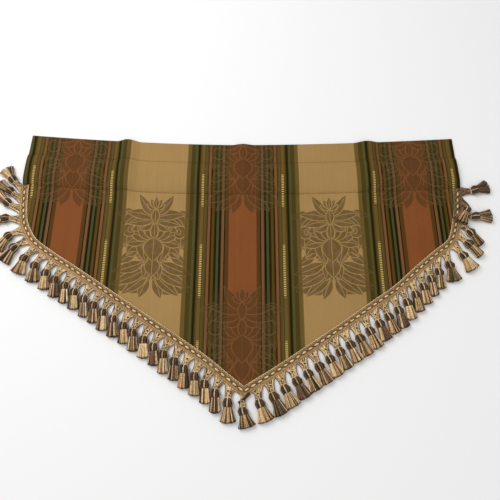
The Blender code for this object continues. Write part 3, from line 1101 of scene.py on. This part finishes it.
@dataclass
class GimpTape:
    """The fringe's heading: a woven tape with cords and a row of satin dashes."""

    EDGE_CORDS = ((-0.0056, 0.0026, 0.0007, GOLD), (0.0050, 0.0027, 0.0008, GOLD),
                  (0.0068, 0.0023, 0.0006, GOLD), (0.0098, 0.0022, 0.0010, NET))
    STITCHES = ((-0.0078, -0.0062, 0.0028), (0.0094, 0.0112, 0.0026))
    BINDING_START, BINDING_WIDTH, BINDING_LEVEL = -0.0078, 0.0186, 0.0026
    TAIL_START, TAIL_END = Vector((0.0170, -0.3070)), Vector((-0.0070, -0.3270))
    TAIL_SIDE = Vector((0.64, -0.77))
    DASH_LENGTHS, DASH_WIDTHS, DASH_BLUNTNESS = (0.85, 1.08), (0.85, 1.05), 0.75

    bed: Bed
    route: Route
    wardrobe: Wardrobe
    inner: float = -0.0080
    outer: float = 0.0110
    step: float = 0.004
    pitch: float = 0.0163
    dash_length: float = 0.0106
    dash_width: float = 0.0041
    dash_height: float = 0.0020
    dash_level: float = 0.0026
    dash_stray: float = 0.0004
    dash_turn: float = 0.10
    lattice: float = 0.0042
    lattice_level: float = 0.0029
    lattice_rise: float = 0.0007
    cord: float = 0.0007
    cord_step: float = 0.0020
    cord_stray: float = 0.0003
    scallop_place: float = -0.0082
    scallop_level: float = 0.0022
    scallop: float = 0.0005
    scallop_radius: float = 0.0011
    stitch_pitch: float = 0.0054
    stitch_radius: float = 0.0008
    end_margin: float = 0.0007
    dash_margin: float = 0.006
    tail_spread: float = 0.0020
    tail_sway: float = 0.0015
    tail_level: float = 0.0050
    tail_radius: float = 0.0014
    seat: float = 0.0002
    smooth_degrees: float = 50
    seed: int = 5
    section: tuple[tuple[float, float], ...] = (
        (-0.0080, 0.0012), (-0.0060, 0.0019), (-0.0035, 0.0022), (0.0, 0.0023),
        (0.0035, 0.0022), (0.0060, 0.0018), (0.0088, 0.0018), (0.0110, 0.0012))

    def level(self, place: Vector) -> float:
        """Top of the cloth under a point of the tape."""
        return self.bed.over(place.x, place.y) + self.seat

    def spot(self, distance: float, across: float, height: float) -> Vector:
        """Point over the tape in space."""
        place = self.route.offset(distance, across)
        return Vector((place.x, place.y, self.level(place) + height))

    def build_band(self) -> bpy.types.Object:
        """The woven band, on a map of metres along and across.

        Returns:
            The finished band.
        """
        bm = bmesh.new()
        section = [*self.section, (self.outer, 0.0), (self.inner, 0.0)]
        rings, flat = [], {}
        for distance in self.route.distances(self.step):
            ring = [bm.verts.new(self.spot(distance, *point)) for point in section]
            rings.append(ring)
            flat.update({v: (distance, p[0]) for v, p in zip(ring, section)})
        count = len(section)
        for first, second in zip(rings, rings[1:]):
            for k in range(count):
                after = (k + 1) % count
                bm.faces.new((first[k], first[after], second[after], second[k]))
        bm.faces.new(rings[0])
        bm.faces.new(rings[-1])
        lay_flat(bm, flat)
        piece = new_piece("tape_band", mesh_of(bm, "tape_band"), (self.wardrobe.tape,))
        bpy.ops.object.shade_smooth_by_angle(angle=math.radians(self.smooth_degrees))
        return register(piece, "trim_yarn", "trim_header")

    def _trace(self, path: Callable[[float], tuple[float, float]]) -> list[Vector]:
        """Line along the whole tape.

        Args:
            path: gives the place across the tape and the height over it, from an angle
                that runs half a turn from dash to dash and is 0 at the point.

        Returns:
            Its points in space.
        """
        distances = self.route.distances(self.cord_step)
        return [self.spot(d, *path(math.pi * (d - self.route.tip) / self.pitch))
                for d in distances]

    def build_cords(self) -> bpy.types.Object:
        """The scalloped edge cord, the crossing cords round the dashes and the straight cords.

        Returns:
            The finished cords.
        """
        roles = (NET, GOLD, PALE, BROWN, DARK)
        bundle = YarnBundle("tape_cords", roles, self.wardrobe)
        line = self._trace(lambda t: (self.scallop_place + self.scallop * math.cos(4 * t),
                                      self.scallop_level))
        bundle.strand(line, self.scallop_radius, PALE)
        for side in (-1, 1):
            line = self._trace(lambda t: (side * self.lattice * math.sin(t),
                                          self.lattice_level + self.lattice_rise * side
                                          * math.cos(t)))
            bundle.strand(line, self.cord, BROWN)
        for across, height, size, role in self.EDGE_CORDS:
            line = self._trace(lambda t: (across + self.cord_stray * math.sin(5 * t), height))
            bundle.strand(line, size, role)
        self._add_stitches(bundle)
        self._add_tail(bundle)
        return register(bundle.finish(), "trim_yarn")

    def _add_stitches(self, bundle: YarnBundle) -> None:
        """Dark stitches along both edges, and the bound cut ends."""
        total = self.route.reach[-1]
        for k in range(int(total / self.stitch_pitch)):
            distance = (k + 0.5) * self.stitch_pitch
            for inner, outer, height in self.STITCHES:
                line = [self.spot(distance, inner, height), self.spot(distance, outer, height)]
                bundle.strand(line, self.stitch_radius, DARK)
        for distance in (self.end_margin, total - self.end_margin):
            line = [self.spot(distance, self.BINDING_START + self.BINDING_WIDTH * t,
                              self.BINDING_LEVEL) for t in shares(6)]
            bundle.strand(line, self.stitch_radius, BROWN)

    def _add_tail(self, bundle: YarnBundle) -> None:
        """The dark folded end of the binding, which lies over the tape at the point."""
        # dark yarn of the folded end, partly a painted shadow at the fold's edge
        for shift in (-self.tail_spread, 0.0, self.tail_spread):
            line = []
            for t in shares(6):
                place = self.TAIL_START.lerp(self.TAIL_END, t)
                sway = self.tail_sway * math.sin(3 * t)
                place += self.TAIL_SIDE * (shift * (1 - 0.4 * t) + sway)
                level = self.level(place) * (1 - 0.6 * t) + self.tail_level
                line.append(Vector((*place, level)))
            bundle.strand(line, self.tail_radius, DARK)

    def build_dashes(self) -> bpy.types.Object:
        """The row of raised satin dashes.

        Returns:
            The finished dashes.
        """
        bpy.ops.object.select_all(action="DESELECT")
        bpy.ops.mesh.primitive_uv_sphere_add(segments=12, ring_count=7, radius=1.0)
        form = bpy.context.object
        bpy.ops.object.shade_smooth()
        rng = random.Random(self.seed)
        bm = bmesh.new()
        total = self.route.reach[-1]
        first = (self.route.tip % self.pitch) - self.pitch / 2
        for k in range(int((total - first) / self.pitch) + 1):
            distance = first + k * self.pitch
            if not self.dash_margin < distance < total - self.dash_margin:
                continue
            start = len(bm.verts)
            bm.from_mesh(form.data)
            bm.verts.ensure_lookup_table()
            stray = rng.uniform(-self.dash_stray, self.dash_stray)
            centre = self.spot(distance, stray, self.dash_level)
            way = self.route.at(distance)[1]
            turn = rng.uniform(-self.dash_turn, self.dash_turn)
            way = (way - right_of(way) * turn).normalized()
            aside = -right_of(way)
            length = self.dash_length * rng.uniform(*self.DASH_LENGTHS) / 2
            width = self.dash_width * rng.uniform(*self.DASH_WIDTHS) / 2
            for vert in bm.verts[start:]:
                along = bulged(vert.co.x, self.DASH_BLUNTNESS) * length
                place = way * along + aside * (vert.co.y * width)
                lift = vert.co.z * self.dash_height / 2
                vert.co = (centre.x + place.x, centre.y + place.y, centre.z + lift)
        bpy.data.objects.remove(form, do_unlink=True)
        mesh = mesh_of(bm, "satin_dashes")
        return register(new_piece("satin_dashes", mesh, (self.wardrobe.satin,)), "trim_yarn")


@dataclass(frozen=True)
class Lay:
    """How one tassel lies: directions of its hanger and skirt in degrees from +X."""

    number: int
    hanger: float
    skirt: float
    length: float
    lift: float


@dataclass(frozen=True)
class TasselSection:
    """One section of a tassel: how far along it is, its half width and its levels."""

    along: float
    half_width: float
    low: float
    high: float


ROOT = TasselSection(0.000, 0.0125, 0.0020, 0.0042)
NECK = TasselSection(0.0225, 0.0062, 0.0012, 0.0095)
CROWN = TasselSection(0.031, 0.0100, 0.0000, 0.0155)
COLLAR = TasselSection(0.0385, 0.0088, 0.0003, 0.0140)
SKIRT_END = TasselSection(0.071, 0.0150, 0.0000, 0.0095)
SECTIONS = (ROOT, NECK, CROWN, COLLAR, SKIRT_END)
LAYS = (
    Lay(1, 138, 128, 0.94, 0), Lay(2, 143, 144, 0.94, 0), Lay(3, 157, 142, 1.00, 0),
    Lay(4, 170, 190, 1.00, 0), Lay(5, 205, 230, 1.00, 0), Lay(6, 212, 234, 1.00, 0),
    Lay(7, 227, 251, 1.00, 0), Lay(8, 234, 267, 1.00, 0), Lay(9, 244, 271, 1.00, 0),
    Lay(26, 248, 271, 1.00, 0), Lay(27, 262, 271, 1.00, 0), Lay(28, 263, 286, 0.84, 0),
    Lay(29, 276, 291, 0.96, 0), Lay(30, 284, 297, 1.00, 0), Lay(32, 290, 298, 1.00, 0),
    Lay(34, 292, 298, 1.00, 0), Lay(40, 285, 291, 1.00, 0), Lay(46, 270, 275, 1.00, 0),
    Lay(47, 268, 273, 1.00, 0), Lay(48, 276, 282, 1.00, 0), Lay(49, 298, 301, 1.00, 0),
    Lay(50, 300, 309, 0.98, 0), Lay(51, 306, 303, 0.98, 0), Lay(52, 332, 364, 0.98, 0),
    Lay(53, 285, 236, 0.93, 0.0085), Lay(54, 360, 376, 0.93, 0),
)


def lay_of(number: int) -> Lay:
    """How one tassel lies, read between the rows of the table."""
    after = next(k for k, row in enumerate(LAYS[1:], 1) if row.number >= number)
    first, second = LAYS[after - 1], LAYS[after]
    share = (number - first.number) / (second.number - first.number)
    return Lay(*(a + (b - a) * share for a, b in zip(astuple(first), astuple(second))))


class TasselPlan:
    """One tassel in plan: where its hanger starts and the two directions that it takes."""

    SPREAD = 0.0015
    TURN = 2.0
    CLEARANCE = 0.0006

    def __init__(self, number: int, root: Vector, along_tape: Vector,
                 rng: random.Random) -> None:
        """Place the tassel as its solid is placed.

        Args:
            number: its number round the fringe.
            root: where its hanger leaves the tape.
            along_tape: the tape's direction there.
            rng: the fringe's seeded numbers.
        """
        lay = lay_of(number)
        self.number = number
        self.root = root
        self.along_tape = along_tape
        self.hanger = heading(lay.hanger + rng.uniform(-self.TURN, self.TURN))
        self.skirt = heading(lay.skirt + rng.uniform(-self.TURN, self.TURN))
        self.lift = lay.lift
        self.stretch = lay.length + rng.uniform(-self.SPREAD, self.SPREAD) / SKIRT_END.along
        self.crown_room = CROWN.half_width
        self.end_room = SKIRT_END.half_width

    def centre(self, along: float) -> Vector:
        """Point of the tassel's middle line at a distance from its root."""
        if along <= NECK.along:
            return self.root + self.hanger * along * self.stretch
        below = self.skirt * (along - NECK.along)
        return self.root + (self.hanger * NECK.along + below) * self.stretch

    def side(self, along: float) -> Vector:
        """Direction across the tassel: along the tape at its root, square to it below."""
        share = ease(along / NECK.along)
        mean = (self.hanger + self.skirt).normalized() if along < CROWN.along else self.skirt
        return (self.along_tape * (1 - share) + right_of(mean) * share).normalized()

    def clearance(self, along: float, other: "TasselPlan") -> float:
        """Half the distance from this tassel's middle to its neighbour's middle line."""
        start = other.centre(NECK.along)
        offset = self.centre(along) - start
        ahead = max(0.0, offset.dot(other.skirt))
        return (offset - other.skirt * ahead).length / 2 - self.CLEARANCE

    def make_room(self, other: "TasselPlan") -> None:
        """Narrow the head and the skirt to what a neighbour at the same level leaves."""
        if self.lift or other.lift:
            return
        self.crown_room = min(self.crown_room, self.clearance(CROWN.along, other))
        self.end_room = min(self.end_room, self.clearance(SKIRT_END.along, other))

    def section(self, along: float) -> tuple[float, float, float]:
        """Half width, lowest and highest level at a distance from the root."""
        collar = COLLAR.half_width * self.crown_room / CROWN.half_width
        widths = (ROOT.half_width, NECK.half_width, self.crown_room, collar, self.end_room)
        i, share = locate([s.along for s in SECTIONS], along)
        first, second = SECTIONS[i - 1], SECTIONS[i]
        width = widths[i - 1] + (widths[i] - widths[i - 1]) * share
        low = first.low + (second.low - first.low) * share
        high = first.high + (second.high - first.high) * share
        held_up = self.lift * ease(along / NECK.along)
        return width, low + held_up, high + held_up

    def spot(self, along: float, across: float, up: float, grow: float = 1.0,
             clear: float = 0.0015) -> Vector:
        """Point in the tassel.

        Args:
            along: metres from its root.
            across: -1 to 1 from side to side.
            up: -1 to 1 from its underside to its top.
            grow: factor on its width and height.
            clear: least height over the floor.

        Returns:
            The point in space.
        """
        width, low, high = self.section(along)
        place = self.centre(along) + self.side(along) * across * width * grow
        middle, half = (low + high) / 2, (high - low) / 2 * grow
        return Vector((place.x, place.y, max(middle + up * half, low + clear)))


@dataclass
class Tassel:
    """One tassel of yarn: a netted hanger, a ribbed head with its tie, and a skirt."""

    plan: TasselPlan
    wardrobe: Wardrobe
    rng: random.Random
    net_strands: int = 8
    net_steps: int = 7
    net_radius: float = 0.00105
    net_reach: float = 0.9
    net_end: float = 0.7
    net_gather: float = 0.45
    net_cross: float = 0.38
    net_level: float = 0.15
    net_weave: float = 0.45
    edge_cords: tuple[float, float] = (0.98, 0.86)
    edge_level: float = 0.2
    knot_stray: float = 0.3
    knot_level: float = 0.9
    knot_squash: float = 0.8
    rosette: float = 0.0036
    rosette_rise: float = 0.0004
    head_ribs: int = 24
    rib_radius: float = 0.0014
    core_radius: float = 0.0048
    skirt_outer: int = 58
    skirt_inner: int = 22
    skirt_radius: float = 0.00105
    skirt_top: float = 0.86
    skirt_flare: float = 1.20
    rounding: float = 0.0035
    waist: float = 0.16
    knot_heart: float = 0.40
    head_overlap: float = 0.001
    head_steps: int = 6
    head_bulge: tuple[float, float] = (0.92, 0.16)
    pale_chance: float = 0.6
    skirt_steps: int = 5
    skirt_tuck: float = 0.003
    skirt_drift: float = 0.07
    skirt_jitter: float = 0.3
    skirt_droop: float = 0.1
    skirt_swell: tuple[float, float] = (0.9, 0.2)
    inner_reach: float = 0.62
    squareness: float = 0.85

    NET_ROLES = (NET, PALE, BROWN, TIE)
    NET_WEIGHTS = (3, 3, 3, 2)
    DARK_NET_ROLES = (BROWN, COPPER, MAUVE, DARK)
    DARK_NETS = (53, 54)
    AT_POINT = 28
    PINCH, PINCH_AT_POINT = (0.0, 0.0025), (0.55, 0.0045)
    KNOTS = ((0.0085, 1.0), (0.0160, 0.72))
    CUT_STRAY = (-0.0008, 0.0012)
    CORE_PLACES = (-0.48, 0.0, 0.48)
    CORE_SIZES = (0.5, 0.8, 1.0, 1.08, 1.08, 1.0, 0.8)
    BANDS = ((NECK.along - 0.0012, 1.02, 0.0011, TIE),
             (NECK.along + 0.0006, 1.02, 0.0010, NET),
             (COLLAR.along + 0.0004, 0.97, 0.0011, DARK))
    # Skirt yarns by weight; the dark strands in the gold mix partly stand for painted shade
    # between strands, and the pale strands in the dark mix partly for painted highlights.
    LIGHT_MIX = {GOLD: 3.2, PALE: 3.0, COPPER: 1.4, BROWN: 1.6, DARK: 2.0, TIE: 0.6}
    DARK_MIX = {OLIVE: 2.0, BROWN: 1.8, GOLD: 1.8, MAUVE: 1.5, DARK: 2.6, PALE: 1.7}
    MIXES = {13: {OLIVE: 3.0, MAUVE: 2.0, PALE: 1.5}, 28: {BROWN: 3.0, GOLD: 3.5, DARK: 3.0},
             53: {BROWN: 3.0, GOLD: 2.5, DARK: 3.0}, 54: {BROWN: 3.0, OLIVE: 1.5, DARK: 4.0}}

    @property
    def light(self) -> bool:
        """Whether this is one of the gold tassels."""
        return self.plan.number % 2 == 1

    def _skirt_role(self) -> YarnRole:
        """Yarn of a few neighbouring strands of the skirt, picked by weight."""
        mix = self.MIXES.get(self.plan.number, self.LIGHT_MIX if self.light else self.DARK_MIX)
        return self.rng.choices(list(mix), list(mix.values()))[0]

    def _net_roles(self) -> tuple[YarnRole, ...]:
        """Yarns of the net, the usual ones or the dark ones of the last two hangers."""
        return self.DARK_NET_ROLES if self.plan.number in self.DARK_NETS else self.NET_ROLES

    def _add_hanger(self, bundle: YarnBundle) -> None:
        """The net: crossing strands between two edge cords, with small knots on it."""
        plan, count, steps = self.plan, self.net_strands, shares(self.net_steps)
        pinch, tuck = self.PINCH_AT_POINT if plan.number == self.AT_POINT else self.PINCH
        for family in (-1, 1):
            for k in range(count):
                start = -self.net_reach + 2 * self.net_reach * k / (count - 1)
                end = start * self.net_gather + family * self.net_cross
                end = max(-self.net_end, min(self.net_end, end))
                line = []
                for t in steps:
                    across = start + (end - start) * ease(t)
                    across *= 1.0 - self.waist * math.sin(math.pi * t) - pinch * (1 - ease(t))
                    weave = self.net_weave * family * math.sin(math.pi * (2 * t + 0.5 * k))
                    line.append(plan.spot(NECK.along * t - tuck * (1 - t), across,
                                          self.net_level + weave))
                role = self.rng.choices(self._net_roles(), self.NET_WEIGHTS)[0]
                bundle.strand(line, self.net_radius, role)
        for side in (-1, 1):
            for reach, role in zip(self.edge_cords, (BROWN, self._net_roles()[0])):
                line = []
                for t in steps:
                    narrow = self.waist * math.sin(math.pi * t) + pinch * (1 - ease(t))
                    line.append(plan.spot(NECK.along * t, side * (reach - narrow),
                                          self.edge_level))
                bundle.strand(line, self.net_radius, role)
        for along, scale in self.KNOTS:
            stray = self.rng.uniform(-self.knot_stray, self.knot_stray)
            middle = plan.spot(along, stray, self.knot_level)
            for share, role in ((1.0, self._net_roles()[1]), (self.knot_heart, BROWN)):
                reach, rise = self.rosette * scale * share, self.rosette_rise * (2 - share)
                ring = [middle + Vector((reach * math.cos(a),
                                         reach * math.sin(a) * self.knot_squash, rise))
                        for a in turns(8)]
                bundle.strand(ring, self.net_radius, role, closed=True)

    def _add_head(self, bundle: YarnBundle) -> None:
        """The wrapped head: ribs from the neck to the collar over a solid core."""
        plan = self.plan
        start, length = NECK.along - self.head_overlap, COLLAR.along - NECK.along
        steps = [start + (length + 2 * self.head_overlap) * t for t in shares(self.head_steps)]
        sizes = [self.core_radius * s for s in self.CORE_SIZES]
        for across in self.CORE_PLACES:
            bundle.strand([plan.spot(a, across, 0.0) for a in steps], sizes, DARK)
        glint = PALE if self.rng.random() < self.pale_chance else GOLD
        cycle = (glint, DARK, BROWN, DARK, DARK)
        ends, more = self.head_bulge
        bulges = [ends + more * math.sin(math.pi * (n + 0.5) / len(steps))
                  for n in range(len(steps))]
        for k, turn in enumerate(turns(self.head_ribs, 0.5)):
            line = [plan.spot(along, math.cos(turn), math.sin(turn), bulge)
                    for along, bulge in zip(steps, bulges)]
            bundle.strand(line, self.rib_radius, cycle[k % len(cycle)])

    def _add_bands(self, bundle: YarnBundle) -> None:
        """The pale tie at the neck and the dark binding under the head."""
        for along, grow, size, role in self.BANDS:
            ring = [self.plan.spot(along, math.cos(a), math.sin(a), grow) for a in turns(16)]
            bundle.strand(ring, size, role, closed=True)

    def _add_skirt(self, bundle: YarnBundle) -> None:
        """The skirt: strands that hang from under the head and flare to a cut end."""
        plan, rng = self.plan, self.rng
        start, end = COLLAR.along - self.skirt_tuck, SKIRT_END.along
        steps = shares(self.skirt_steps)
        thin, swell = self.skirt_swell
        sizes = [self.skirt_radius * (thin + swell * t) for t in steps]
        for count, reach in ((self.skirt_outer, 1.0), (self.skirt_inner, self.inner_reach)):
            role, left = self._skirt_role(), 0
            for k in range(count):
                if left == 0:
                    role, left = self._skirt_role(), rng.randint(1, 2)
                left -= 1
                jitter = rng.uniform(-self.skirt_jitter, self.skirt_jitter)
                turn = math.tau * (k + jitter) / count
                across = bulged(math.cos(turn), self.squareness) * reach
                up = bulged(math.sin(turn), self.squareness) * reach
                drift = rng.uniform(-self.skirt_drift, self.skirt_drift)
                last = end + rng.uniform(*self.CUT_STRAY) - self.rounding * across * across
                line = []
                for t in steps:
                    along = start + (last - start) * t
                    grow = self.skirt_top + (self.skirt_flare - self.skirt_top) * t
                    place = plan.spot(min(along, end), across + drift * t,
                                      up * (1 - self.skirt_droop * t), grow)
                    if along > end:
                        place += Vector((*plan.skirt, 0)) * (along - end)
                    line.append(place)
                bundle.strand(line, sizes, role)

    def build(self) -> bpy.types.Object:
        """Gather the tassel's strands into one piece.

        Returns:
            The finished tassel.
        """
        name = f"tassel_{self.plan.number:02d}"
        bundle = YarnBundle(f"yarn_{name}", list(YarnRole), self.wardrobe)
        self._add_hanger(bundle)
        self._add_head(bundle)
        self._add_bands(bundle)
        self._add_skirt(bundle)
        slot = "light_yarn" if self.light else "dark_yarn"
        return register(bundle.finish(), slot, name)


@dataclass
class TasselFringe:
    """All the tassels, numbered from the left side's top round the point."""

    route: Route
    tape: GimpTape
    wardrobe: Wardrobe
    seat_gap: float = 0.0003
    seed: int = 11
    yarn_seed: int = 100

    def build(self) -> list[bpy.types.Object]:
        """Plan every tassel as its solid is planned, then build each one.

        Returns:
            The tassels.
        """
        rng = random.Random(self.seed)
        stations, normals = self.route.stations, self.route.normals()
        plans = []
        for number in range(1, len(stations) - 1):
            along_tape = right_of(normals[number]).normalized()
            root = stations[number] + normals[number] * (self.tape.outer + self.seat_gap)
            plans.append(TasselPlan(number, root, along_tape, rng))
        for first, second in zip(plans, plans[1:]):
            first.make_room(second)
            second.make_room(first)
        return [Tassel(plan, self.wardrobe, random.Random(self.yarn_seed + plan.number)).build()
                for plan in plans]


@dataclass
class Studio:
    """Pale floor, soft light and the camera of the view."""

    LIGHTS = (("key_light", 38.0, 1.8, (-1.4, 1.0, 2.1)),
              ("fill_light", 6.0, 2.4, (1.0, -1.4, 1.9)))

    sensor: float = 36.0
    focal: float = 36.0 * 501 / 500
    tilt: float = 20.8
    place: tuple[float, float, float] = (0.0176, -0.400, 1.100)
    sky: float = 0.55
    floor_size: float = 14.0
    floor_level: float = -0.0002

    def build(self) -> None:
        """Add the floor, the lights and the camera."""
        bpy.ops.object.select_all(action="DESELECT")
        bpy.ops.mesh.primitive_plane_add(size=self.floor_size, location=(0, 0, self.floor_level))
        floor = bpy.context.object
        floor.name = "studio_floor"
        floor.data.materials.append(FloorFinish().make())
        for row in self.LIGHTS:
            self._light(*row)
        world = bpy.data.worlds.new("soft_sky")
        world.use_nodes = True
        sky = world.node_tree.nodes["Background"]
        sky.inputs[0].default_value = (1.0, 1.0, 1.0, 1.0)
        sky.inputs[1].default_value = self.sky
        bpy.context.scene.world = world
        bpy.context.scene.view_settings.view_transform = "Standard"
        data = bpy.data.cameras.new("view_camera")
        data.lens = self.focal
        data.sensor_width = self.sensor
        camera = add_object("view_camera", data)
        camera.location = self.place
        camera.rotation_euler = (math.radians(self.tilt), 0.0, 0.0)
        bpy.context.scene.camera = camera

    @staticmethod
    def _light(name: str, power: float, size: float, place: tuple[float, float, float]) -> None:
        """Add one soft square light that faces the middle of the cloth."""
        data = bpy.data.lights.new(name, "AREA")
        data.energy = power
        data.size = size
        light = add_object(name, data)
        light.location = place
        light.rotation_euler = (-Vector(place)).to_track_quat("-Z", "Y").to_euler()


def main() -> None:
    """Build and dress the valance in the order in which it is made up."""
    logging.basicConfig(level=logging.INFO, format="%(message)s")
    bed, route, wardrobe = Bed(), Route(), Wardrobe()
    Studio().build()
    panel = ClothPanel(bed, route, wardrobe)
    cloth = panel.dress(panel.build())
    tape = GimpTape(bed, route, wardrobe)
    trim = [tape.build_band(), tape.build_cords(), tape.build_dashes()]
    tassels = TasselFringe(route, tape, wardrobe).build()
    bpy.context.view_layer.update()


if __name__ == "__main__":
    main()
